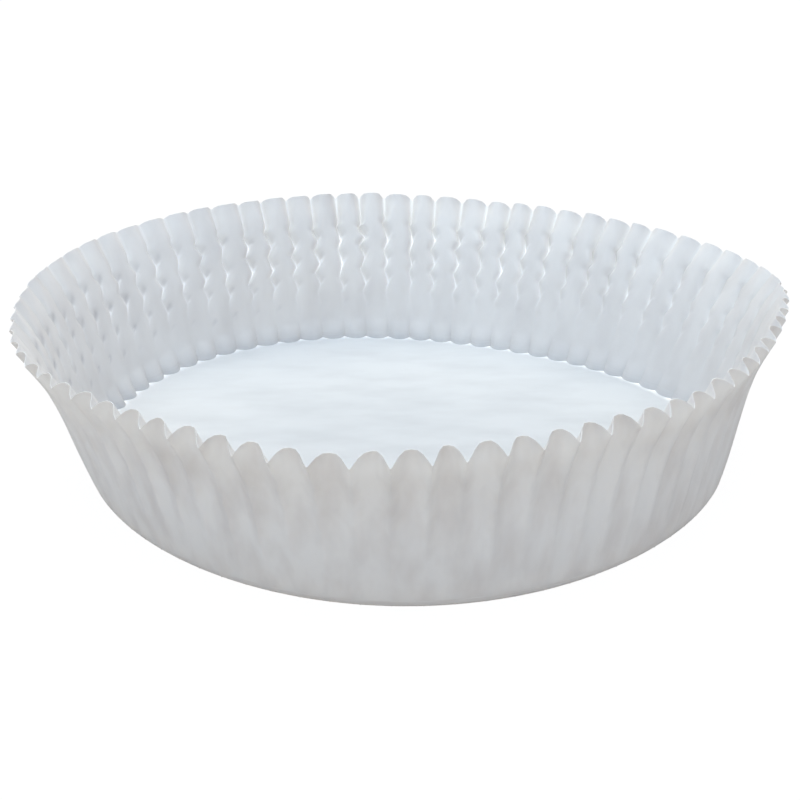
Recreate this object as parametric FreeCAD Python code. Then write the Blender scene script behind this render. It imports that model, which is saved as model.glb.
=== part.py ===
"""Tart baking cup: one round sheet of baking paper, pressed into a flat base and a leaning wall.

The wall is gathered into flutes. Each flute is a broad rounded lobe that stands inwards, and it
meets its neighbours in sharp creases that point outwards. Below a plain band at the rim the
creases are crimped: they zigzag down the wall and run straight again above the base. The crimps
draw the wall in, so it bows inwards and flares towards the rim. The base is round, and the soft
rim stands a little out of round.

The origin is the middle of the underside of the base, and +Z points up.
"""
import FreeCAD, Part
import math
import os

# Driving dimensions, in millimetres and degrees.
base_diameter = 120.0       # flat base, across the creases at its edge
wall_slant = 31.5           # base edge to rim, straight along a crease
wall_lean = 20.9            # mean lean of that line outwards from the vertical
wall_bow = 1.35             # how far the wall bows inwards from that line
bow_place = 0.65            # share of the slant at which it bows most
paper_thickness = 0.1

flute_pitch = 5.9           # crease to crease along the rim
rim_flute_depth = 2.1       # crease to lobe, square to the wall, at the rim
base_flute_depth = 0.45     # the same at the edge of the base
lobe_rise = 1.1             # how far a lobe's middle reaches past the creases at the rim
lobe_facets = 4             # folds across one lobe

rim_band = 5.6              # plain band under the rim, where the creases run straight
crimp_fall = 3.7            # long leg of a crease's zigzag, down the wall
crimp_return = 2.7          # short leg of the zigzag
crimp_sway = 1.0            # sideways step of a crease over one leg
crimp_count = 3             # zigzags down the wall
fewest_flutes = 12          # the least that still makes a round wall

# How the rim stands out of round. Each wave: the number of swells around the rim, how far they
# stand out and the direction of the first. The waves die away down the wall to the round base.
rim_waves = (
    (1, 0.70, 91.5),
    (2, 1.15, 10.5),
    (3, 1.75, 25.5),
    (4, 0.55, 4.0),
    (5, 0.60, 12.0),
    (6, 0.85, 21.0),
)

# Sizes that follow from them.
lean = math.radians(wall_lean)
base_radius = base_diameter / 2
rim_radius = base_radius + wall_slant * math.sin(lean)
flute_count = max(fewest_flutes, round(2 * math.pi * rim_radius / flute_pitch))
flute_angle = 2 * math.pi / flute_count
bow_power = math.log(0.5) / math.log(bow_place)


def place(radius, angle, height):
    """The point at this radius and angle about the cup's axis, at this height."""
    return FreeCAD.Vector(radius * math.cos(angle), radius * math.sin(angle), height)


def lean_at(angle):
    """The wall's lean at this angle about the axis: the rim's waves change it a little."""
    swell = sum(height * math.cos(swells * (angle - math.radians(first)))
                for swells, height, first in rim_waves)
    return math.asin(math.sin(lean) + swell / wall_slant)


def wall_point(angle, reach, inset):
    """The point of the wall at this angle, this far up its slant and this far inside it."""
    tilt = lean_at(angle)
    return place(base_radius + reach * math.sin(tilt) - inset * math.cos(tilt), angle,
                 reach * math.cos(tilt) + inset * math.sin(tilt))


def lobe_profile(depth, pitch):
    """The outer skin across one flute, from its crease up to the next: half an ellipse.

    Each corner is a pair: its distance from the crease, and its inset from the creases' cone.
    """
    turns = [math.pi * step / lobe_facets for step in range(lobe_facets)]
    return [(pitch / 2 * (1 - math.cos(turn)), depth * math.sin(turn)) for turn in turns]


def facet_normal(start, end):
    """The unit normal of a facet of the profile, on its inward side."""
    length = math.dist(start, end)
    return (start[1] - end[1]) / length, (end[0] - start[0]) / length


def inner_profile(outer, pitch):
    """The inner skin of the same flute, one paper thickness away, mitred at each corner."""
    before = (outer[-1][0] - pitch, outer[-1][1])
    after = (outer[0][0] + pitch, outer[0][1])
    corners = [before, *outer, after]
    inner = []
    for last, corner, following in zip(corners, corners[1:], corners[2:]):
        x1, y1 = facet_normal(last, corner)
        x2, y2 = facet_normal(corner, following)
        mitre = paper_thickness / (1 + x1 * x2 + y1 * y2)
        inner.append((corner[0] + mitre * (x1 + x2), corner[1] + mitre * (y1 + y2)))
    return inner


def both_profiles(slant):
    """The outer and inner profile of a flute at a height up the slant, and its pitch there."""
    share = slant / wall_slant
    depth = base_flute_depth + (rim_flute_depth - base_flute_depth) * share
    pitch = flute_angle * (base_radius + slant * math.sin(lean))
    outer = lobe_profile(depth, pitch)
    return outer, inner_profile(outer, pitch), pitch


def all_round(profile, pitch, point_at):
    """A ring of points around the cup that repeats one flute's profile."""
    return [point_at((index + across / pitch) * flute_angle, inset)
            for index in range(flute_count) for across, inset in profile]


def foot_rings():
    """The outer ring at the underside and the inner ring at the floor, both level."""
    rings = []
    outer, inner, pitch = both_profiles(0.0)
    for profile, height in ((outer, 0.0), (inner, paper_thickness)):
        radius = base_radius + height * math.tan(lean)
        rings.append(all_round(profile, pitch, lambda angle, inset: place(
            radius - inset / math.cos(lean), angle, height)))
    return rings


def wall_rings(slant, sway):
    """The outer and inner ring at a height up the slant, turned so that creases sway."""
    outer, inner, pitch = both_profiles(slant)
    middle_depth = max(inset for across, inset in outer)
    rise = lobe_rise * slant / wall_slant / middle_depth
    bow = wall_bow * math.sin(math.pi * (slant / wall_slant) ** bow_power)
    rings = []
    for profile in (outer, inner):
        rings.append(all_round(profile, pitch, lambda angle, inset: wall_point(
            angle + sway / pitch * flute_angle, slant + rise * inset, inset + bow)))
    return rings


def wall_levels():
    """Each level of the wall above its foot: the height up the slant and the creases' sway."""
    levels = []
    slant = wall_slant - rim_band
    for _ in range(crimp_count):
        levels.append((slant, crimp_sway / 2))
        levels.append((slant - crimp_fall, -crimp_sway / 2))
        slant -= crimp_fall + crimp_return
    return [level for level in reversed(levels) if level[0] > crimp_return] + [(wall_slant, 0.0)]


def band(low, high):
    """The faces between two rings of points, ruled from each edge of one to the other's."""
    faces = []
    for index in range(len(low)):
        start, end = index - 1, index
        faces.append(Part.makeRuledSurface(Part.makeLine(low[start], low[end]),
                                           Part.makeLine(high[start], high[end])))
    return faces


def baking_cup():
    """The whole cup: both skins of the wall, the cut rim between them and the base."""
    rings = [foot_rings()] + [wall_rings(slant, sway) for slant, sway in wall_levels()]
    faces = []
    for low, high in zip(rings, rings[1:]):
        faces += band(low[0], high[0]) + band(low[1], high[1])
    rim_outer, rim_inner = rings[-1]
    faces += band(rim_outer, rim_inner)
    for ring in rings[0]:
        faces.append(Part.Face(Part.makePolygon(ring + ring[:1])))
    shell = Part.makeShell(faces)
    shell.sewShape()
    solid = Part.makeSolid(shell)
    if solid.Volume < 0:
        solid.reverse()
    return solid


os.makedirs("parts", exist_ok=True)
baking_cup().exportStep("parts/baking_cup.step")
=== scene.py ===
"""A fluted paper baking cup for tarts, standing on a white studio table.

The cup is one sheet of baking paper. Its wall is a surface of two numbers: the place round the
ring, counted in flutes, and the distance up the slant of the wall. Everything is in metres.
"""

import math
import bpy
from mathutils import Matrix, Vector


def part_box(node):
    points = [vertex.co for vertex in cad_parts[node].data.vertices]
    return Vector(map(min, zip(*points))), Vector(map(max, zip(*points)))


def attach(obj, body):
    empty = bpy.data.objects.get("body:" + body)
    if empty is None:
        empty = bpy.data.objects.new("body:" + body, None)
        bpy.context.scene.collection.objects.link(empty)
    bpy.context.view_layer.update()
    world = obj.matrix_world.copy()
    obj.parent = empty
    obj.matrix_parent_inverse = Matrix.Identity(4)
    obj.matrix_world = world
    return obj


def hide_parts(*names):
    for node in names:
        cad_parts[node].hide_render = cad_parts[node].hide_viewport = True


bl_info = {
    "name": "Fluted Baking Cup",
    "version": (1, 0, 0),
    "blender": (4, 5, 0),
    "location": "3D Viewport > Sidebar > Baking Cup",
    "description": "Makes a crimped paper baking cup and the studio around it",
    "category": "Add Mesh",
}

import bpy
import numpy as np
from bpy.props import FloatProperty, FloatVectorProperty, IntProperty, PointerProperty
from mathutils import Matrix, Vector

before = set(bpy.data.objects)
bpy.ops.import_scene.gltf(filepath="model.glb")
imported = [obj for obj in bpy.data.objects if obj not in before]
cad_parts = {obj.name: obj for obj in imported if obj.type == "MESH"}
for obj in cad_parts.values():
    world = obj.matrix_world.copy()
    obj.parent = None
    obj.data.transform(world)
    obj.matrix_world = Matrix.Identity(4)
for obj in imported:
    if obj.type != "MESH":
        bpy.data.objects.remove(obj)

MM = 0.001
NODE = "baking_cup"
CAD_LOW, CAD_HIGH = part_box(NODE)
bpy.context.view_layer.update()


def cad_base_radius():
    """The reach of the CAD cup's flat underside: its lowest corners' greatest radius."""
    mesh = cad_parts[NODE].data
    corners = np.zeros(len(mesh.vertices) * 3)
    mesh.vertices.foreach_get("co", corners)
    corners = corners.reshape(-1, 3)
    foot = corners[corners[:, 2] < CAD_LOW.z + 0.01 * MM]
    return float(np.hypot(foot[:, 0], foot[:, 1]).max())


# ---------------------------------------------------------------- sizes and colours


class CupShape(bpy.types.PropertyGroup):
    """Sizes of the cup and of its flutes and crimps."""
    base_radius: FloatProperty(
        name="Base Radius", description="Centre of the base to the creases at its edge",
        default=cad_base_radius(), unit="LENGTH")
    wall_slant: FloatProperty(
        name="Wall Slant", description="Base edge to rim, straight along a crease",
        default=31.5 * MM, unit="LENGTH")
    wall_lean: FloatProperty(
        name="Wall Lean", description="Mean lean of the wall outwards from the vertical",
        default=math.radians(20.9), subtype="ANGLE")
    wall_bow: FloatProperty(
        name="Wall Bow", description="How far the wall bows inwards between base and rim",
        default=1.35 * MM, unit="LENGTH")
    bow_place: FloatProperty(
        name="Bow Place", description="Share of the slant at which the wall bows most",
        default=0.65, subtype="FACTOR")
    thickness: FloatProperty(
        name="Paper Thickness", default=0.1 * MM, unit="LENGTH",
        description="Thickness of the paper")
    flutes: IntProperty(
        name="Flutes", description="Number of flutes round the wall", default=76, min=12)
    rim_depth: FloatProperty(
        name="Flute Depth at Rim", description="Crease to lobe, square to the wall, at the rim",
        default=2.6 * MM, unit="LENGTH")
    lobe_rise: FloatProperty(
        name="Lobe Rise", description="How far a lobe reaches past its creases at the rim",
        default=1.1 * MM, unit="LENGTH")
    foot_scallop: FloatProperty(
        name="Foot Scallop", description="Reach of a lobe's foot over the base, on the inside",
        default=1.5 * MM, unit="LENGTH")
    foot_fold: FloatProperty(
        name="Foot Fold", description="Roundness of the outer fold at the foot of the wall",
        default=0.35 * MM, unit="LENGTH")
    rim_band: FloatProperty(
        name="Plain Rim Band", description="Height under the rim where the creases run straight",
        default=5.2 * MM, unit="LENGTH")
    crimp_fall: FloatProperty(
        name="Crimp Fall", description="Long leg of a crease's zigzag",
        default=3.0 * MM, unit="LENGTH")
    crimp_return: FloatProperty(
        name="Crimp Return", description="Short leg of a crease's zigzag",
        default=2.1 * MM, unit="LENGTH")
    crimp_sway: FloatProperty(
        name="Crimp Sway", description="Sideways step of a crease over one leg",
        default=1.15 * MM, unit="LENGTH")
    pocket: FloatProperty(
        name="Pocket Depth", description="Depth of the pockets pressed beside the crimps",
        default=0.3 * MM, unit="LENGTH")
    seed: IntProperty(name="Seed", description="Seed of the small unevenness", default=7)


class CupPaper(bpy.types.PropertyGroup):
    """Colours and finish of the paper, with the colours of its painted shade, painted highlight and
    painted glow.
    """
    colour: FloatVectorProperty(
        name="Paper", description="Colour of the paper", subtype="COLOR", size=3,
        default=(0.93, 0.945, 0.96), min=0, max=1)
    deep_colour: FloatVectorProperty(
        name="Cloudy Paper", description="Colour of the denser clouds in the paper",
        subtype="COLOR", size=3, default=(0.82, 0.84, 0.86), min=0, max=1)
    through_colour: FloatVectorProperty(
        name="Light Tint", description="Colour of the light that comes through the paper",
        subtype="COLOR", size=3, default=(0.985, 0.935, 0.85), min=0, max=1)
    deep_tint: FloatVectorProperty(
        name="Cloudy Tint", description="Colour of that light in the denser clouds",
        subtype="COLOR", size=3, default=(0.925, 0.845, 0.745), min=0, max=1)
    # The white of the folds: partly the paper's own whitening at its folds, partly painted
    # highlight.
    fold_white_and_highlight: FloatVectorProperty(
        name="Worn Fold", description="Colour of the paper where folding has whitened it",
        subtype="COLOR", size=3, default=(0.99, 0.99, 0.99), min=0, max=1)
    # Painted shade in the pockets, the corner over the base, towards the foot and on two sides, and
    # the pockets' doubled paper.
    darkened_colour: FloatVectorProperty(
        name="Doubled Paper", description="Colour of the pockets, where the paper lies double",
        subtype="COLOR", size=3, default=(0.30, 0.33, 0.40), min=0, max=1)
    # A painted glow: the whitened folds give off light, though they are no lamp.
    painted_fold_glow: FloatProperty(
        name="Fold Glow", description="Light that the whitened folds pass on by themselves",
        default=0.6, min=0, max=1, subtype="FACTOR")
    light_through: FloatProperty(
        name="Light Through", description="Share of light that passes through the paper",
        default=0.45, min=0, max=1, subtype="FACTOR")
    roughness: FloatProperty(
        name="Roughness", description="Roughness of the paper", default=0.75, min=0, max=1,
        subtype="FACTOR")


class CupStudio(bpy.types.PropertyGroup):
    """The table, the lamp and the camera."""
    table_colour: FloatVectorProperty(
        name="Table", description="Colour of the table", subtype="COLOR", size=3,
        default=(0.40, 0.40, 0.40), min=0, max=1)
    sky: FloatProperty(
        name="Room Light", description="Strength of the light from straight above",
        default=2.64, min=0)
    sky_colour: FloatVectorProperty(
        name="Room Colour", description="Cool colour of the light from above",
        subtype="COLOR", size=3, default=(0.716, 0.867, 1.0), min=0, max=1)
    horizon_colour: FloatVectorProperty(
        name="Horizon Colour", description="Warm colour of the room's light near the horizon",
        subtype="COLOR", size=3, default=(0.03, 0.01, 0.035), min=0, max=1)
    sky_gather: FloatProperty(
        name="Room Light Gather", description="How closely the room's light gathers overhead",
        default=3.0, min=0.1)
    lamp: FloatProperty(
        name="Lamp Power", description="Power of the soft warm lamp high behind the cup",
        default=5.9, min=0, unit="POWER")
    lamp_colour: FloatVectorProperty(
        name="Lamp Colour", description="Colour of the lamp behind the cup",
        subtype="COLOR", size=3, default=(1.0, 0.89, 0.69), min=0, max=1)
    lens: FloatProperty(
        name="Lens", description="Focal length of the camera", default=68.32, unit="CAMERA")
    distance: FloatProperty(
        name="Camera Distance", description="Camera to the point it looks at",
        default=291.2 * MM, unit="LENGTH")
    elevation: FloatProperty(
        name="Camera Elevation", description="Height angle of the camera",
        default=math.radians(23.21), subtype="ANGLE")
    aim_height: FloatProperty(
        name="Aim Height", description="Height of the point on the axis it looks at",
        default=9.52 * MM, unit="LENGTH")


# ---------------------------------------------------------------- the paper's surface


# How the rim and the base stand out of round. Each wave: the number of swells round the ring, how
# far they stand out and the direction of the first, in degrees.
RIM_WAVES = ((1, 0.70 * MM, 91.5), (2, 1.15 * MM, 10.5), (3, 1.75 * MM, 25.5),
             (4, 0.55 * MM, 4.0), (5, 0.60 * MM, 12.0), (6, 0.85 * MM, 21.0))
BASE_WAVES = ((2, 1.78 * MM, -37.6), (3, 1.45 * MM, 12.4), (4, 0.47 * MM, 12.7))

# Where the creases lie round the ring.
FIRST_CREASE = math.radians(26.2)
CREEP = math.radians(1.07)          # the furthest that they are shifted round it
CREEP_FROM = math.radians(87)       # where they aren't; opposite it they are shifted furthest

# How uneven the pressing is: the spread, or the least and the most, of what chance draws.
MOST_CRIMPS = 9                     # crimps of a crease that have sizes of their own
START_SPREAD = 0.4 * MM             # height at which a crease starts to zigzag
SWING_SHARES = (0.6, 1.3)           # size of a swing, as a share of the full sway
DEPTH_SHARES = (0.35, 1.0)          # depth of a pocket, as a share of the full depth
MARK_SHARES = (0.45, 1.0)           # whiteness of a fold, as a share
CREASE_SPREAD = 0.045               # place of a crease at the rim, in flutes
SIZE_SPREAD = 0.05                  # depth of a lobe, as a share
RISE_SPREAD = 0.10                  # rise of a lobe, as a share
SKEW_SPREAD = 0.10 * MM             # how far a lobe leans over to one of its creases
DRIFT = 0.35 * MM                   # reach of each of two waves that shift a crease's crimps
DRIFT_LENGTHS = (1.7 * MM, 2.9 * MM)        # and their lengths, divided by 2 pi

# How the sides of the cup differ. Each side is a direction from the axis. Of three things a share
# is the same all round, and the rest goes by the cosine from their side.
HIGHLIGHT_SIDE = math.radians(95)        # where the painted highlight on the folds is strongest
PRESSED_SIDE = math.radians(172)    # where the pockets are pressed deepest
SWAYED_SIDE = math.radians(110)     # where the creases zigzag most
HIGHLIGHT_EVEN, PRESSED_EVEN, SWAYED_EVEN = 0.25, 0.6, 0.65
CALM_SIDES = np.radians((10, 145, 190))     # where the flutes are pressed flattest
SHADED_SIDES = np.radians((10, 172))         # where the wall gets its painted shade
SIDE_CLOSENESS = 8                  # how closely these two keep to their sides
CALMED = 0.58                       # share of the flutes' form that is pressed away
CALM_BACK, CALM_TOP = 0.45, 0.8     # the even inset and rise that take its place
SCALLOPS_LOST = 0.6                 # share of the foot's scallops lost at the first calm side
SCALLOPS_CLOSENESS = 6

# Zones up the slant, from where a thing starts to where it is full, or from full to none.
SWAY_ZONE = (4 * MM, 15 * MM)       # the creases' zigzag
BACK_ZONE = (4 * MM, 14 * MM)       # the flat backs of the lobes, between narrow creases
POCKET_ZONE = (4 * MM, 10 * MM)     # the pockets
DOUBLE_ZONE = (2 * MM, 7 * MM)      # the doubled paper and painted shade in them
WHITE_ZONE = (6 * MM, 18 * MM)      # the whitened folds and their painted highlight
SHADE_ZONE = (1 * MM, 20 * MM)      # the low painted shade, from full to none
SCALLOP_ZONE = (0, 4.5 * MM)        # the foot's scallops, from full to none
LEVEL_ZONE = (0, 5 * MM)            # the insets that run level, from full to none
RIM_ROUND = 1 * MM                  # the lobes are fully round down to this far under the rim

# The lobes and creases.
DEPTH_POWER = 1.4                   # lobes deepen up the wall by this power
OUTER_SWAY = 0.6                    # share of the creases' zigzag that shows outside
OUTER_EASE = 0.35                   # share by which the crimps make the outer lobes shallower
HARD_FOLD = math.radians(50)        # faces that meet at this or more have a hard edge

# The pockets beside the crimps, by the height above their lip and the distance from the crease.
LIP_CLIMB = 0.7                     # how steeply the lip climbs away from the crease
LIP_STEP = 0.4 * MM                 # height over which the paper steps out at the lip
POCKET_HEIGHT = 1.7 * MM            # width of the bell by which it comes back above
POCKET_START = 0.25 * MM            # distance over which a pocket deepens beside the crease
POCKET_END = (1.0 * MM, 2.1 * MM)   # distances between which it ends
DOUBLE_UP = (0.65 * MM, 0.6 * MM)   # middle and width of the doubled, painted-shade spot, upwards
DOUBLE_OUT = (0.9 * MM, 0.75 * MM)  # and sideways
DOUBLE_SHARE, DOUBLE_CALM = 0.35, 1.05      # its strength, and how much calm adds to it

# How far painted shade darkens the paper, from 0 to 1; in the pockets also doubled paper.
LOW_SHADE = 0.13                    # painted shade on both skins, towards the foot
FOLD_SHADE = 0.33                   # painted contact shadow outside, at the fold round the base
FOLD_WIDTH = 0.6 * MM
CORNER_SHADE = 0.12                 # painted shade inside, in the corner over the base
CORNER_UP = (1.5 * MM, 2.5 * MM)    # its middle and width, upwards
SIDE_SHADE = 0.1                    # painted shade inside, on the shaded sides
POCKET_SHADE = 0.65                 # inside, where the paper lies double, with the pits' painted shade

# How far the paper is whitened, from 0 to 1, and the widths of the marks: partly the folds' own
# whitening, partly painted highlight.
PLAIN_MARK, PLAIN_WIDTH = 0.45, 0.28 * MM   # creases in the plain rim band
CRIMP_WIDTH = 0.14 * MM                     # creases in the crimps
HIGHLIGHT_MARK, BEND_MARK = 0.3, 0.7             # all along them on the highlit side, and at their bends
BEND_LENGTH, BEND_HIGHLIGHT = 0.5 * MM, 1.1 * MM     # a bend's mark, and how much the highlit side adds to it
LIP_MARK, LIP_WIDTH, LIP_LENGTH = 0.8, 0.22 * MM, 1.0 * MM      # painted highlight on the pockets' lips
FOOT_MARK = 0.2                             # painted highlight round the foot
CUSP_MARK, CUSP_WIDTH = 0.45, 0.7 * MM      # painted highlight added there where the creases reach it
BASE_MARK, BASE_EVEN = 0.12, 0.4    # painted light on the base's edge, where the wall shades it, and the share of it that is even all round
PALE_SIDE = math.radians(125)       # where that painted light is strongest

# How much the paper's clouds show.
CLOUDS_OUTSIDE, CLOUDS_INSIDE, CLOUDS_ON_BASE = 1.0, 0.5, 0.8

# The rows of points up the wall.
FIRST_ROW = 0.1 * MM                # the lowest one above the foot itself
FOOT_ROWS, CRIMP_ROWS, RIM_ROWS = 6, 46, 7
CRIMPS_OVER = 1 * MM                # how far the crimps' rows reach into the plain rim band

# The rings of points in the base, outwards: their size as a share of its outline's, and their
# painted light as a share of its edge's.
BASE_SIZES = (0.3, 0.639, 0.978)
BASE_PALENESS = (0.0, 0.45, 1.0)


def swell(angle, waves):
    """How far a ring stands out at each angle: the sum of its waves."""
    return sum(reach * np.cos(count * (angle - math.radians(first)))
               for count, reach, first in waves)


def smooth_step(value, low, high):
    """0 below low, 1 above high, and 3t^2 - 2t^3 between them."""
    t = np.clip((value - low) / (high - low), 0, 1)
    return t * t * (3 - 2 * t)


def bell(value, width):
    """1 at nothing, falling off on both sides as exp(-(value / width)^2)."""
    return np.exp(-(value / width) ** 2)


def near_sides(angle, sides, closeness):
    """About 1 at each of these directions, and less round the ring from it.

    The sum of exp(closeness * (cos(angle - side) - 1)) over the sides.
    """
    return sum(np.exp(closeness * (np.cos(angle - side) - 1)) for side in sides)


def lobe_depth(across, tight=0.0):
    """Inset of a lobe as a share of its depth: 0 at both creases and 1 half way.

    One minus a power of the distance from the middle, to a second power. At the rim, where tight
    is 0, that is a broad round back between round-bottomed valleys. In the crimps, where tight is
    1, it is a flat back between narrow creases.
    """
    back = 2.8 + 2.4 * tight
    valley = 2.1 - 0.8 * tight
    return (1 - np.abs(2 * across - 1) ** back) ** valley


def lobe_top(across):
    """Rise of a lobe past its creases, as a share: flat along the middle, steep at the ends.

    One minus the fifth power of the distance from the middle, to the power 1.6.
    """
    return (1 - np.abs(2 * across - 1) ** 5) ** 1.6


class FlutedWall:
    """The wall's creases, lobes and crimps.

    The distances up the slant give one row of values each. A row goes round the ring: it has one
    value for each crease, or a few for each flute, close together beside the creases. Seen from
    inside, a flute's near crease is on its right and its far crease on its left.
    """

    def __init__(self, cup, columns):
        """Draws the small unevenness of each crease, crimp and lobe once, for both skins.

        The swings, pockets and whitened, painted-highlight folds are then each made stronger
        towards one side, by a cosine of the direction. On the calm sides the flutes are pressed
        flatter, and on the shaded sides the paper is darkened with painted shade.
        """
        chance = np.random.default_rng(cup.seed)
        flutes = cup.flutes
        self.cup = cup
        self.flute = np.repeat(np.arange(flutes), columns)
        self.following = (self.flute + 1) % flutes
        self.across = np.tile((1 - np.cos(math.pi * np.arange(columns) / columns)) / 2, flutes)
        self.period = cup.crimp_fall + cup.crimp_return
        self.long_share = cup.crimp_fall / self.period
        self.start = cup.wall_slant - cup.rim_band + chance.normal(0, START_SPREAD, flutes)
        self.waver = chance.uniform(0, 2 * math.pi, (2, flutes))
        swings = chance.uniform(*SWING_SHARES, (MOST_CRIMPS, flutes))
        depths = chance.uniform(*DEPTH_SHARES, (MOST_CRIMPS, flutes))
        marks = chance.uniform(*MARK_SHARES, (MOST_CRIMPS, flutes))
        self.wander = chance.normal(0, CREASE_SPREAD, flutes)
        self.sizes = chance.normal(1, SIZE_SPREAD, flutes)[self.flute]
        self.rises = chance.normal(1, RISE_SPREAD, flutes)[self.flute]
        self.skews = chance.normal(0, SKEW_SPREAD, flutes)[self.flute]
        towards = FIRST_CREASE + 2 * math.pi / flutes * np.arange(flutes)
        # The folds' painted highlight is strongest towards one side.
        self.fold_highlight = np.maximum(0, np.cos(towards - HIGHLIGHT_SIDE))
        self.marks = marks * (HIGHLIGHT_EVEN + (1 - HIGHLIGHT_EVEN) * self.fold_highlight)
        self.depths = depths * (PRESSED_EVEN
                                + (1 - PRESSED_EVEN) * np.cos(towards - PRESSED_SIDE))
        self.swings = swings * (SWAYED_EVEN + (1 - SWAYED_EVEN) * np.cos(towards - SWAYED_SIDE))
        self.live = 1 - CALMED * near_sides(towards, CALM_SIDES, SIDE_CLOSENESS)
        # Painted shade on the shaded sides.
        self.shade = SIDE_SHADE * near_sides(towards, SHADED_SIDES, SIDE_CLOSENESS)
        self.scallops = 1 - SCALLOPS_LOST * near_sides(towards, CALM_SIDES[:1],
                                                       SCALLOPS_CLOSENESS)

    def phases(self, slant):
        """How many zigzags each crease has made: rows are heights, columns are creases.

        The count grows steadily down the wall from the foot of the plain rim band, where it
        starts half way along a short leg. Each crease starts a little higher or lower than its
        neighbour, and its pace wavers with the height.
        """
        drift = DRIFT * (np.sin(slant[:, None] / DRIFT_LENGTHS[0] + self.waver[0])
                         + np.sin(slant[:, None] / DRIFT_LENGTHS[1] + self.waver[1]))
        return (1 + self.long_share) / 2 + (self.start - slant[:, None] + drift) / self.period

    def crimped(self, phase):
        """True where a crease has begun to zigzag, and false above."""
        return phase > (1 + self.long_share) / 2

    def by_crimp(self, values, phase):
        """Each crease's value for the crimp that it is in at each height."""
        crimp = np.clip(phase.astype(int), 0, MOST_CRIMPS - 1)
        return values[crimp, np.arange(self.cup.flutes)[None, :]]

    def sway(self, slant):
        """Sideways place of each crease: a lopsided triangle wave of the phase.

        Over the long leg it goes from plus to minus half the sway, and over the short leg back.
        Each swing has its own size, and they all fade towards the base.
        """
        phase = self.phases(slant)
        turn = phase % 1
        wave = np.where(turn < self.long_share, 1 - 2 * turn / self.long_share,
                        2 * (turn - self.long_share) / (1 - self.long_share) - 1)
        fade = smooth_step(slant, *SWAY_ZONE)[:, None]
        return (wave * self.crimped(phase) * self.by_crimp(self.swings, phase)
                * fade * self.cup.crimp_sway / 2)

    def angles(self, slant, share):
        """The direction of each point: part of the way from its near crease to its far one.

        Up the wall the creases wander from an even spacing, and all of them creep round towards
        one side. In the crimps they zigzag by this share of their full sway.
        """
        up = slant[:, None] / self.cup.wall_slant
        near = self.flute + self.wander[self.flute] * up
        far = self.flute + 1 + self.wander[self.following] * up
        angle = FIRST_CREASE + 2 * math.pi / self.cup.flutes * (near + (far - near) * self.across)
        angle = angle + CREEP * smooth_step((1 - np.cos(angle - CREEP_FROM)) / 2, 0, 1)
        sway = share * self.sway(slant)
        sideways = (sway[:, self.flute] * (1 - self.across)
                    + sway[:, self.following] * self.across)
        return angle + sideways / self.radius(slant)

    def radius(self, slant):
        """The cone's mean radius at each height, as a column."""
        return (self.cup.base_radius + slant * math.sin(self.cup.wall_lean))[:, None]

    def pitch(self, slant):
        """The distance from crease to crease at each height, as a column."""
        return 2 * math.pi * self.radius(slant) / self.cup.flutes

    def surface(self, slant, foot, inside):
        """The outer or the inner face of the paper, with an extra inset at the foot.

        A point of a leaning line from the base's outline to the rim's, by its distance up the
        line and its inset square to it. Lobes deepen with a power of the distance up, and the
        whole wall bows inwards as a sine of a power of it. Inside, the lobes are pressed flat
        between narrow creases, with pockets; outside, everything is softer. On the calm sides the
        lobes are partly evened out. At the foot the inset runs level, so the lowest row is flat.
        """
        cup = self.cup
        up = slant[:, None] / cup.wall_slant
        angle = self.angles(slant, 1.0 if inside else OUTER_SWAY)
        base = cup.base_radius + swell(angle, BASE_WAVES)
        lean = np.arcsin(math.sin(cup.wall_lean) + (swell(angle, RIM_WAVES)
                                                    - swell(angle, BASE_WAVES)) / cup.wall_slant)
        pressed = 1 - smooth_step(slant, cup.wall_slant - cup.rim_band,
                                  cup.wall_slant - RIM_ROUND)[:, None]
        if inside:
            back = lobe_depth(self.across, pressed * smooth_step(slant, *BACK_ZONE)[:, None])
            foot = foot + cup.thickness - self.pockets(slant)
        else:
            back = lobe_depth(self.across) * (1 - OUTER_EASE * pressed)
        askew = self.skews * np.sin(2 * math.pi * self.across) * up
        live = self.live[self.flute]
        back = live * back + (1 - live) * CALM_BACK
        top = live * lobe_top(self.across) + (1 - live) * CALM_TOP
        inset = cup.rim_depth * up ** DEPTH_POWER * self.sizes * back + askew + foot
        rise = cup.lobe_rise * up * self.rises * top
        level = 1 - smooth_step(slant, *LEVEL_ZONE)[:, None]
        reach = slant[:, None] + rise - level * inset * np.tan(lean)
        power = math.log(0.5) / math.log(cup.bow_place)
        inset = inset + cup.wall_bow * np.sin(math.pi * up ** power)
        out = base + reach * np.sin(lean) - inset * np.cos(lean)
        height = reach * np.cos(lean) + inset * np.sin(lean)
        return np.stack([out * np.cos(angle), out * np.sin(angle), height], -1)

    def pocket_lip(self, slant):
        """For each point: its height above the lip of the pocket at its far crease's corner.

        The lip climbs away from the corner, to the right as seen from inside. Two more values
        follow: the distance from the far crease, and whether that crease zigzags here.
        """
        phase = self.phases(slant)
        beside = (1 - self.across) * self.pitch(slant)
        above = ((self.long_share - phase + 0.5) % 1 - 0.5) * self.period
        lip = above[:, self.following] - LIP_CLIMB * beside
        return lip, beside, self.crimped(phase)[:, self.following]

    def pockets(self, slant):
        """Depth of the pockets: steep at the lip, shallower upwards and away from the crease.

        A smooth step and half a bell up from the lip, times a smooth step out from the crease and
        another one back.
        """
        lip, beside, crimped = self.pocket_lip(slant)
        depth = self.by_crimp(self.depths, self.phases(slant))[:, self.following]
        fade = smooth_step(slant, *POCKET_ZONE)[:, None]
        shape = (smooth_step(lip, 0, LIP_STEP) * bell(np.maximum(lip, 0), POCKET_HEIGHT)
                 * smooth_step(beside, 0, POCKET_START)
                 * (1 - smooth_step(beside, *POCKET_END)))
        return self.cup.pocket * shape * depth * crimped * fade

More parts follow.
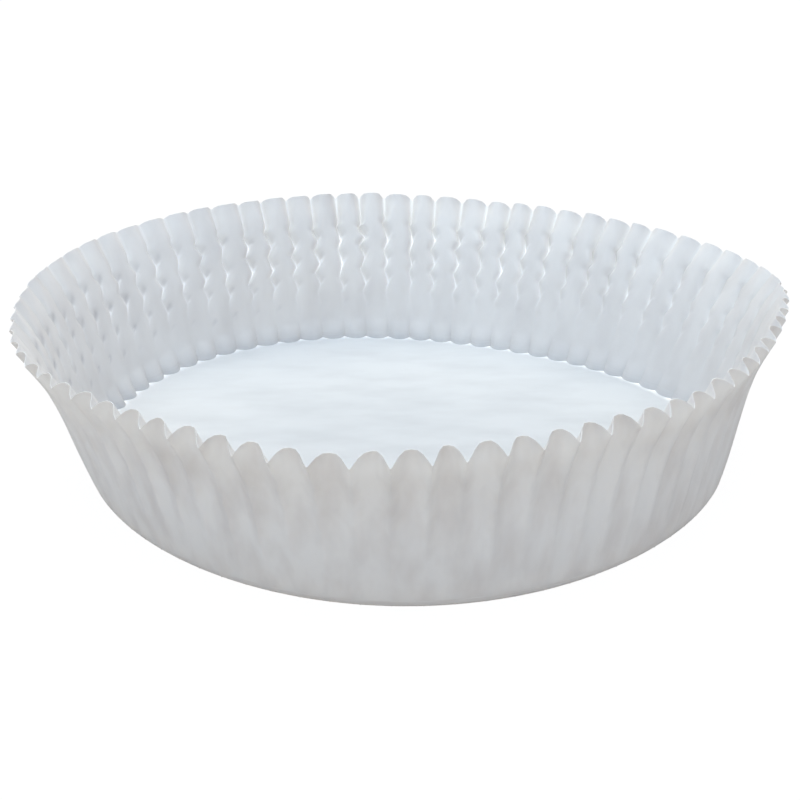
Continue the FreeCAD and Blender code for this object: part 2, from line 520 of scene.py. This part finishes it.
    def pocket_darkening(self, slant):
        """How far the pockets darken, 0 to 1, by doubled paper and painted shade: a soft spot in
        each pocket, just over its lip.

        A bell up from the lip times a bell out from the crease. It is strongest on the calm
        sides, where the flutes are pressed flattest.
        """
        lip, beside, crimped = self.pocket_lip(slant)
        depth = self.by_crimp(self.depths, self.phases(slant))[:, self.following]
        fade = smooth_step(slant, *DOUBLE_ZONE)[:, None]
        spot = (bell(lip - DOUBLE_UP[0], DOUBLE_UP[1])
                * bell(beside - DOUBLE_OUT[0], DOUBLE_OUT[1]))
        calm = 1 - self.live[self.following]
        return spot * depth * crimped * fade * (DOUBLE_SHARE + DOUBLE_CALM * calm)

    def whiteness(self, slant):
        """How far the inner skin is whitened, 0 to 1, at each point: partly the folds' own
        whitening, partly painted highlight.

        Bells across the creases: wide and soft in the plain rim band, narrow below it and
        strongest at the zigzag's bends, where they are longer on the highlit side; and a painted
        highlight along each pocket's lip. They fade downwards. The lowest row gets a painted
        highlight by itself, most where the creases reach it.
        """
        phase = self.phases(slant)
        plain = 1 - self.crimped(phase)
        bend = np.abs((phase - self.long_share + 0.5) % 1 - 0.5) * self.period
        marks = self.by_crimp(self.marks, phase)
        fade = smooth_step(slant, *WHITE_ZONE)[:, None]
        stroke = HIGHLIGHT_MARK * self.fold_highlight + BEND_MARK * bell(bend, BEND_LENGTH + BEND_HIGHLIGHT * self.fold_highlight)
        along = (plain * PLAIN_MARK * self.live + (1 - plain) * stroke) * marks * fade
        width = np.where(plain, PLAIN_WIDTH, CRIMP_WIDTH)
        pitch = self.pitch(slant)
        near = along[:, self.flute] * bell(self.across * pitch, width[:, self.flute])
        far = along[:, self.following] * bell((1 - self.across) * pitch, width[:, self.following])
        lip, beside, crimped = self.pocket_lip(slant)
        edge = (bell(lip, LIP_WIDTH) * bell(beside, LIP_LENGTH) * crimped * fade
                * marks[:, self.following])
        cusp = bell(np.minimum(self.across, 1 - self.across) * pitch, CUSP_WIDTH)
        foot = (slant == 0)[:, None] * (FOOT_MARK + CUSP_MARK * cusp)
        return np.maximum(np.maximum(near, far), np.maximum(LIP_MARK * edge, foot))

    def density(self, slant, inside):
        """How far the paper is darkened, 0 to 1, on the outer or the inner skin: by painted shade,
        and in the pockets also by doubled paper.

        Both skins get painted shade towards the foot. Outside, a bell of painted contact shadow at
        the fold round the base is added. Inside, a bell of painted shade in the corner over the
        base is added, the pockets' doubled paper and painted shade show where they are darker than
        that, and the painted shade of the shaded sides comes on top. The lowest row has neither
        the corner's shade nor the sides', since it is the base's edge.
        """
        low = LOW_SHADE * (1 - smooth_step(slant, *SHADE_ZONE))[:, None]
        if not inside:
            fold = FOLD_SHADE * bell(slant, FOLD_WIDTH)[:, None]
            return (low + fold) * np.ones(len(self.across))
        above = slant > 0
        corner = CORNER_SHADE * (bell(slant - CORNER_UP[0], CORNER_UP[1]) * above)[:, None]
        pockets = POCKET_SHADE * self.pocket_darkening(slant)
        return np.maximum(low + corner, pockets) + self.shade[self.flute] * above[:, None]


def wall_skins(cup, columns, slant):
    """The outer and the inner skin of the wall, and what marks each of them.

    The outer skin is the crimped surface, with a rounded fold at its foot. The inner one lies a
    paper's thickness inside it, and its foot is scalloped: a parabola across each flute, which
    fades upwards. "crease" is how far the paper is whitened, partly at its folds and partly as
    painted highlight, "shade_and_doubling" is how far painted shade and doubled paper darken
    it, and "cloudy" is how much its clouds show.
    """
    wall = FlutedWall(cup, columns)
    fold = cup.foot_fold * np.clip(1 - slant / (2 * cup.foot_fold), 0, 1)[:, None] ** 2
    outer = wall.surface(slant, fold, False)
    scallop = (cup.foot_scallop * (1 - smooth_step(slant, *SCALLOP_ZONE)[:, None])
               * wall.scallops[wall.flute])
    inner = wall.surface(slant, scallop * (1 - (2 * wall.across - 1) ** 2), True)
    inner[0, :, 2] = cup.thickness
    even = np.ones(inner.shape[:2])
    fields = {"crease": (0 * even, wall.whiteness(slant)),
              "shade_and_doubling": (wall.density(slant, False), wall.density(slant, True)),
              "cloudy": (CLOUDS_OUTSIDE * even, CLOUDS_INSIDE * even)}
    return outer, inner, fields


def base_points(foot, height):
    """Rings from near the centre to beside the foot of the wall: its outline, ever larger."""
    points = foot[None, :, :] * np.array(BASE_SIZES)[:, None, None]
    points[:, :, 2] = height
    return points


def base_fields(foot):
    """What marks the base's lower and upper face, with the same names as on the wall.

    The upper face gets a little painted light at its edge, where the wall shades it, most on one
    side, by a cosine of the direction.
    """
    towards = np.arctan2(foot[:, 1], foot[:, 0])
    # Painted light on the base's edge, strongest on one side.
    pale = (BASE_MARK * (BASE_EVEN + (1 - BASE_EVEN) * np.cos(towards - PALE_SIDE))
            * np.array(BASE_PALENESS)[:, None])
    even = np.ones(pale.shape)
    return {"crease": (0 * even, np.maximum(pale, 0)), "shade_and_doubling": (0 * even, 0 * even),
            "cloudy": (CLOUDS_OUTSIDE * even, CLOUDS_ON_BASE * even)}


def ring_quads(low, high):
    """Faces between two rings of point numbers, going round and up."""
    return np.stack([low, np.roll(low, -1), np.roll(high, -1), high], 1)


def wall_rows(cup):
    """The distances up the slant of the wall's rows: closest at the foot, close in the crimps."""
    foot_end = LEVEL_ZONE[1]
    crimps_end = cup.wall_slant - cup.rim_band + CRIMPS_OVER
    return np.concatenate([[0, FIRST_ROW, cup.foot_fold],
                           np.linspace(2 * cup.foot_fold, foot_end, FOOT_ROWS)[:-1],
                           np.linspace(foot_end, crimps_end, CRIMP_ROWS)[:-1],
                           np.linspace(crimps_end, cup.wall_slant, RIM_ROWS)])


def paper_cup_mesh(name, cup, columns=10):
    """The whole cup as one closed mesh: outer skin, inner skin, cut rim and both base faces.

    Each skin's rings of points go from near the base's centre out to its edge and up the wall. A
    fan of triangles round one more point closes the centre.
    """
    outer, inner, fields = wall_skins(cup, columns, wall_rows(cup))
    rings = len(BASE_SIZES)
    count = outer.shape[1]
    points = []
    quads = []
    fans = []
    tops = []
    feet = []
    first = 0
    for wall, height, turned in ((outer, 0.0, False), (inner, cup.thickness, True)):
        base = base_points(wall[0], height)
        points += [base.reshape(-1, 3), wall.reshape(-1, 3), np.array([[0.0, 0.0, height]])]
        ring_count = rings + len(wall)
        numbers = first + np.arange(ring_count * count).reshape(ring_count, count)
        faces = np.concatenate([ring_quads(low, high) for low, high in zip(numbers, numbers[1:])])
        centre = np.full(count, first + ring_count * count)
        fan = np.stack([centre, np.roll(numbers[0], -1), numbers[0]], 1)
        quads.append(faces[:, ::-1] if turned else faces)
        fans.append(fan[:, ::-1] if turned else fan)
        tops.append(numbers[-1])
        feet.append(numbers[rings])
        first += ring_count * count + 1
    quads.append(ring_quads(*tops))
    mesh = bpy.data.meshes.new(name)
    mesh.from_pydata(np.concatenate(points).tolist(), [],
                     np.concatenate(quads).tolist() + np.concatenate(fans).tolist())
    mesh.update()
    mark_folds(mesh, np.concatenate(feet))
    for kind, bases in base_fields(inner[0]).items():
        values = np.concatenate([part for base, wall in zip(bases, fields[kind]) for part in (
            base.reshape(-1), wall.reshape(-1), base[0, :1])])
        mesh.attributes.new(kind, "FLOAT", "POINT").data.foreach_set("value", values)
    return mesh


def mark_folds(mesh, foot):
    """Smooth faces, with hard edges at every hard fold and between two points of the foot."""
    mesh.polygons.foreach_set("use_smooth", np.ones(len(mesh.polygons), bool))
    mesh.set_sharp_from_angle(angle=HARD_FOLD)
    ends = np.zeros(2 * len(mesh.edges), int)
    mesh.edges.foreach_get("vertices", ends)
    sharp = np.zeros(len(mesh.edges), bool)
    mesh.edges.foreach_get("use_edge_sharp", sharp)
    mesh.edges.foreach_set("use_edge_sharp", sharp | np.isin(ends, foot).reshape(-1, 2).all(1))


# ---------------------------------------------------------------- the paper's finish, with its painted shade and painted highlight


# Where a mix node keeps its inputs and its result, for vectors and for colours.
FACTOR, VECTOR_A, VECTOR_B, COLOUR_A, COLOUR_B = 0, 4, 5, 6, 7
MIXED_VECTOR, MIXED_COLOUR = 1, 2

# The paper's clouds: how many there are in a metre along X, Y and Z. On the base they are streaks
# along X, and on the wall they stand up.
STREAKS = (55, 140, 140)
BANDS = (210, 210, 70)
STREAKS_END, BANDS_START = 0.3 * MM, 1.5 * MM   # heights between which one turns into the other
CLOUDS_START, CLOUDS_FULL = 0.40, 0.70          # values of the noise where clouds start and peak

# The paper's fibres and the shine of its face.
FIBRES = 1400.0                     # how many there are in a metre
FIBRE_HEIGHT = 0.06 * MM
FIBRE_STRENGTH = 0.35               # share of that height that shows
SHINE = 0.25


def empty_tree(owner):
    """The nodes of a material or a world, switched on and emptied."""
    owner.use_nodes = True
    owner.node_tree.nodes.clear()
    return owner.node_tree


def node(tree, kind, place, **values):
    """A new shader node at a place in the editor, with its settings and inputs filled in.

    An input's name has underscores for its spaces.
    """
    made = tree.nodes.new(kind)
    made.location = place
    for key, value in values.items():
        if hasattr(made, key):
            setattr(made, key, value)
        else:
            made.inputs[key.replace("_", " ")].default_value = value
    return made


def colour_mix(tree, place, share, low, high):
    """A socket with the mix of two colours: low where the share is 0 and high where it is 1.

    The share is a socket, and each colour is three numbers or a socket.
    """
    mix = node(tree, "ShaderNodeMix", place, data_type="RGBA")
    tree.links.new(share, mix.inputs[FACTOR])
    for colour, number in ((low, COLOUR_A), (high, COLOUR_B)):
        if isinstance(colour, bpy.types.NodeSocket):
            tree.links.new(colour, mix.inputs[number])
        else:
            mix.inputs[number].default_value = (*colour, 1)
    return mix.outputs[MIXED_COLOUR]


def cloud_share(tree, place):
    """A socket with how cloudy the paper is, 0 to 1, at a place given by a socket.

    Soft noise, stretched one way on the base and another on the wall, times the "cloudy" mark.
    """
    split = node(tree, "ShaderNodeSeparateXYZ", (-1600, 100))
    on_wall = node(tree, "ShaderNodeMapRange", (-1400, 100), From_Min=STREAKS_END,
                   From_Max=BANDS_START)
    streaks = node(tree, "ShaderNodeMapping", (-1400, 800), Scale=STREAKS)
    bands = node(tree, "ShaderNodeMapping", (-1400, 450), Scale=BANDS)
    either = node(tree, "ShaderNodeMix", (-1200, 400), data_type="VECTOR")
    noise = node(tree, "ShaderNodeTexNoise", (-1000, 400), Scale=1.0, Detail=3.0, Roughness=0.55)
    thick = node(tree, "ShaderNodeMapRange", (-800, 400), From_Min=CLOUDS_START,
                 From_Max=CLOUDS_FULL)
    shown = node(tree, "ShaderNodeAttribute", (-800, 600), attribute_name="cloudy")
    share = node(tree, "ShaderNodeMath", (-600, 400), operation="MULTIPLY")
    link = tree.links.new
    link(place, split.inputs["Vector"])
    link(split.outputs["Z"], on_wall.inputs["Value"])
    link(place, streaks.inputs["Vector"])
    link(place, bands.inputs["Vector"])
    link(on_wall.outputs["Result"], either.inputs[FACTOR])
    link(streaks.outputs["Vector"], either.inputs[VECTOR_A])
    link(bands.outputs["Vector"], either.inputs[VECTOR_B])
    link(either.outputs[MIXED_VECTOR], noise.inputs["Vector"])
    link(noise.outputs["Fac"], thick.inputs["Value"])
    link(thick.outputs["Result"], share.inputs[0])
    link(shown.outputs["Fac"], share.inputs[1])
    return share.outputs["Value"]


def paper_material(paper):
    """Baking paper: soft white, faintly cloudy, with fine fibres, and light shows through it.

    It is darkened by painted shade, and in the pockets by doubled paper, where the
    "shade_and_doubling" mark says so. Where the "crease" mark says so it is whiter, partly from
    its own whitening and partly as painted highlight, has a painted glow and lets less light
    through.
    """
    material = bpy.data.materials.new("baking_paper")
    tree = empty_tree(material)
    place = node(tree, "ShaderNodeTexCoord", (-1800, 0)).outputs["Object"]
    clouds = cloud_share(tree, place)
    # Painted shade, and the pockets' doubled paper.
    shade_and_doubling = node(tree, "ShaderNodeAttribute", (-600, 150), attribute_name="shade_and_doubling").outputs["Fac"]
    # The folds' whitening and painted highlight.
    fold_highlight = node(tree, "ShaderNodeAttribute", (-600, -50), attribute_name="crease").outputs["Fac"]
    cloudy = colour_mix(tree, (-400, 400), clouds, paper.colour, paper.deep_colour)
    darkened = colour_mix(tree, (-200, 300), shade_and_doubling, cloudy, paper.darkened_colour)
    whitened = colour_mix(tree, (0, 200), fold_highlight, darkened, paper.fold_white_and_highlight)
    passed = colour_mix(tree, (0, -350), clouds, paper.through_colour, paper.deep_tint)
    fibres = node(tree, "ShaderNodeTexNoise", (-400, -600), Scale=FIBRES, Detail=3.0,
                  Roughness=0.65)
    bump = node(tree, "ShaderNodeBump", (-200, -600), Strength=FIBRE_STRENGTH,
                Distance=FIBRE_HEIGHT)
    # Painted glow: the whitened folds give off light, though they are no lamp.
    glow = node(tree, "ShaderNodeMath", (0, -50), operation="MULTIPLY")
    glow.inputs[1].default_value = paper.painted_fold_glow
    surface = node(tree, "ShaderNodeBsdfPrincipled", (250, 200), Roughness=paper.roughness,
                   Specular_IOR_Level=SHINE, Emission_Color=(*paper.fold_white_and_highlight, 1))
    through = node(tree, "ShaderNodeBsdfTranslucent", (250, -400))
    clear = node(tree, "ShaderNodeMapRange", (250, -600), To_Min=paper.light_through, To_Max=0.0)
    share = node(tree, "ShaderNodeMixShader", (600, 0))
    output = node(tree, "ShaderNodeOutputMaterial", (800, 0))
    link = tree.links.new
    link(place, fibres.inputs["Vector"])
    link(fibres.outputs["Fac"], bump.inputs["Height"])
    link(fold_highlight, glow.inputs[0])
    link(fold_highlight, clear.inputs["Value"])
    link(whitened, surface.inputs["Base Color"])
    link(glow.outputs["Value"], surface.inputs["Emission Strength"])
    link(bump.outputs["Normal"], surface.inputs["Normal"])
    link(passed, through.inputs["Color"])
    link(bump.outputs["Normal"], through.inputs["Normal"])
    link(clear.outputs["Result"], share.inputs["Fac"])
    link(surface.outputs["BSDF"], share.inputs[1])
    link(through.outputs["BSDF"], share.inputs[2])
    link(share.outputs["Shader"], output.inputs["Surface"])
    return material


# ---------------------------------------------------------------- the studio's light


BRIGHTEST = Vector((-0.10, -0.30, 1.0))     # where most of the room's light comes from
DIMMEST = -0.2                      # cosine of the angle from there where the light is dimmest
LAMP_PLACE = Vector((0, 0.4, 0.8))
LAMP_SIZE = 0.9
TABLE_REACH = 3.0
TABLE_GLOW = 1.08                   # strength of the white that the camera sees on the table
GLOW_SHARE = 0.9                    # its share; the rest is the table's own colour and shadow
AIM_ASIDE = 0.13 * MM               # how far beside the cup's axis the camera looks
CAMERA_ROLL = math.radians(-0.12)
CAMERA_NEAREST = 10 * MM


def seen_directly(tree, place):
    """A socket that is 1 where the camera, or a clear reflection or view through, sees this.

    Light that only falls on the paper or shines through it counts as 0.
    """
    x, y = place
    path = node(tree, "ShaderNodeLightPath", (x, y))
    either = node(tree, "ShaderNodeMath", (x + 200, y), operation="MAXIMUM")
    any_view = node(tree, "ShaderNodeMath", (x + 400, y), operation="MAXIMUM")
    clear = node(tree, "ShaderNodeMath", (x + 600, y), operation="SUBTRACT", use_clamp=True)
    link = tree.links.new
    link(path.outputs["Is Camera Ray"], either.inputs[0])
    link(path.outputs["Is Glossy Ray"], either.inputs[1])
    link(either.outputs["Value"], any_view.inputs[0])
    link(path.outputs["Is Transmission Ray"], any_view.inputs[1])
    link(any_view.outputs["Value"], clear.inputs[0])
    link(path.outputs["Is Diffuse Ray"], clear.inputs[1])
    return clear.outputs["Value"]


def table_material(studio):
    """A pale table that the camera sees as white, with the cup's soft shadow kept on it."""
    material = bpy.data.materials.new("table_white")
    tree = empty_tree(material)
    bright = node(tree, "ShaderNodeMath", (0, 200), operation="MULTIPLY")
    bright.inputs[1].default_value = GLOW_SHARE
    matt = node(tree, "ShaderNodeBsdfDiffuse", (0, 0), Color=(*studio.table_colour, 1))
    glow = node(tree, "ShaderNodeEmission", (0, -150), Strength=TABLE_GLOW)
    share = node(tree, "ShaderNodeMixShader", (250, 0))
    output = node(tree, "ShaderNodeOutputMaterial", (450, 0))
    link = tree.links.new
    link(seen_directly(tree, (-900, 200)), bright.inputs[0])
    link(bright.outputs["Value"], share.inputs["Fac"])
    link(matt.outputs["BSDF"], share.inputs[1])
    link(glow.outputs["Emission"], share.inputs[2])
    link(share.outputs["Shader"], output.inputs["Surface"])
    return material


def room_light(studio):
    """A room that is white to look at and gives soft light, most of it from above.

    The light's colour goes from the horizon's to the room's, by a power of how nearly a direction
    faces the brightest one.
    """
    world = bpy.data.worlds.new("studio_room")
    tree = empty_tree(world)
    place = node(tree, "ShaderNodeTexCoord", (-1150, 0))
    facing = node(tree, "ShaderNodeVectorMath", (-950, 0), operation="DOT_PRODUCT")
    facing.inputs[1].default_value = BRIGHTEST.normalized()
    climb = node(tree, "ShaderNodeMapRange", (-750, 0), From_Min=DIMMEST, From_Max=1.0)
    gather = node(tree, "ShaderNodeMath", (-550, 0), operation="POWER")
    gather.inputs[1].default_value = studio.sky_gather
    soft = node(tree, "ShaderNodeBackground", (0, 0), Strength=studio.sky)
    white = node(tree, "ShaderNodeBackground", (0, -150), Strength=1.0, Color=(1, 1, 1, 1))
    share = node(tree, "ShaderNodeMixShader", (250, 0))
    output = node(tree, "ShaderNodeOutputWorld", (450, 0))
    link = tree.links.new
    link(place.outputs["Generated"], facing.inputs[0])
    link(facing.outputs["Value"], climb.inputs["Value"])
    link(climb.outputs["Result"], gather.inputs[0])
    link(colour_mix(tree, (-300, 0), gather.outputs["Value"], studio.horizon_colour,
                    studio.sky_colour), soft.inputs["Color"])
    link(seen_directly(tree, (-900, 300)), share.inputs["Fac"])
    link(soft.outputs["Background"], share.inputs[1])
    link(white.outputs["Background"], share.inputs[2])
    link(share.outputs["Shader"], output.inputs["Surface"])
    return world


# ---------------------------------------------------------------- operators


class BAKINGCUP_OT_cup(bpy.types.Operator):
    """Makes the fluted paper cup."""
    bl_idname = "baking_cup.cup"
    bl_label = "Make Paper Cup"

    def execute(self, context):
        mesh = paper_cup_mesh("fluted_cup", context.scene.cup_shape)
        cup = bpy.data.objects.new("fluted_cup", mesh)
        context.scene.collection.objects.link(cup)
        cup.data.materials.append(paper_material(context.scene.cup_paper))
        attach(cup, "root")
        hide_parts(NODE)
        return {"FINISHED"}


class BAKINGCUP_OT_studio(bpy.types.Operator):
    """Makes the table, the lamp and the camera."""
    bl_idname = "baking_cup.studio"
    bl_label = "Make Studio"

    def execute(self, context):
        studio = context.scene.cup_studio
        self.make_table(context, studio)
        self.make_lamp(context, studio)
        self.make_camera(context, studio)
        context.scene.world = room_light(studio)
        context.scene.view_settings.view_transform = "Standard"
        return {"FINISHED"}

    def make_table(self, context, studio):
        """A wide square under the cup."""
        reach = TABLE_REACH
        mesh = bpy.data.meshes.new("table")
        mesh.from_pydata([(-reach, -reach, 0), (reach, -reach, 0), (reach, reach, 0),
                          (-reach, reach, 0)], [], [(0, 1, 2, 3)])
        table = bpy.data.objects.new("table", mesh)
        mesh.materials.append(table_material(studio))
        context.scene.collection.objects.link(table)

    def make_lamp(self, context, studio):
        """One wide soft lamp, high behind the cup."""
        data = bpy.data.lights.new("behind", "AREA")
        data.shape = "DISK"
        data.size = LAMP_SIZE
        data.energy = studio.lamp
        data.color = studio.lamp_colour
        lamp = bpy.data.objects.new("behind", data)
        lamp.location = LAMP_PLACE
        lamp.rotation_euler = LAMP_PLACE.to_track_quat("Z", "Y").to_euler()
        context.scene.collection.objects.link(lamp)

    def make_camera(self, context, studio):
        """The camera looks along +Y and down, at a point just beside the cup's axis."""
        data = bpy.data.cameras.new("camera")
        data.lens = studio.lens
        data.clip_start = CAMERA_NEAREST
        camera = bpy.data.objects.new("camera", data)
        aim = Vector((AIM_ASIDE, 0, studio.aim_height))
        away = Vector((0, -math.cos(studio.elevation), math.sin(studio.elevation)))
        look = away.to_track_quat("Z", "Y").to_matrix().to_4x4()
        roll = Matrix.Rotation(CAMERA_ROLL, 4, "Z")
        camera.matrix_world = Matrix.Translation(aim + studio.distance * away) @ look @ roll
        context.scene.collection.objects.link(camera)
        context.scene.camera = camera


class BAKINGCUP_PT_panel(bpy.types.Panel):
    """The cup's pieces and sizes, in the 3D view's sidebar."""
    bl_label = "Baking Cup"
    bl_idname = "BAKINGCUP_PT_panel"
    bl_space_type = "VIEW_3D"
    bl_region_type = "UI"
    bl_category = "Baking Cup"

    def draw(self, context):
        for group in (context.scene.cup_shape, context.scene.cup_paper, context.scene.cup_studio):
            box = self.layout.box()
            for name in group.__annotations__:
                box.prop(group, name)
        for operator in (BAKINGCUP_OT_cup, BAKINGCUP_OT_studio):
            self.layout.operator(operator.bl_idname)


CLASSES = (CupShape, CupPaper, CupStudio, BAKINGCUP_OT_cup, BAKINGCUP_OT_studio,
           BAKINGCUP_PT_panel)


def register():
    """Registers the classes and puts their settings on the scene."""
    for each in CLASSES:
        bpy.utils.register_class(each)
    bpy.types.Scene.cup_shape = PointerProperty(type=CupShape)
    bpy.types.Scene.cup_paper = PointerProperty(type=CupPaper)
    bpy.types.Scene.cup_studio = PointerProperty(type=CupStudio)


def unregister():
    """Takes the settings and the classes away again."""
    del bpy.types.Scene.cup_studio
    del bpy.types.Scene.cup_paper
    del bpy.types.Scene.cup_shape
    for each in reversed(CLASSES):
        bpy.utils.unregister_class(each)


def main():
    """Makes the cup and its studio."""
    register()
    bpy.ops.baking_cup.cup()
    bpy.ops.baking_cup.studio()


if __name__ == "__main__":
    main()
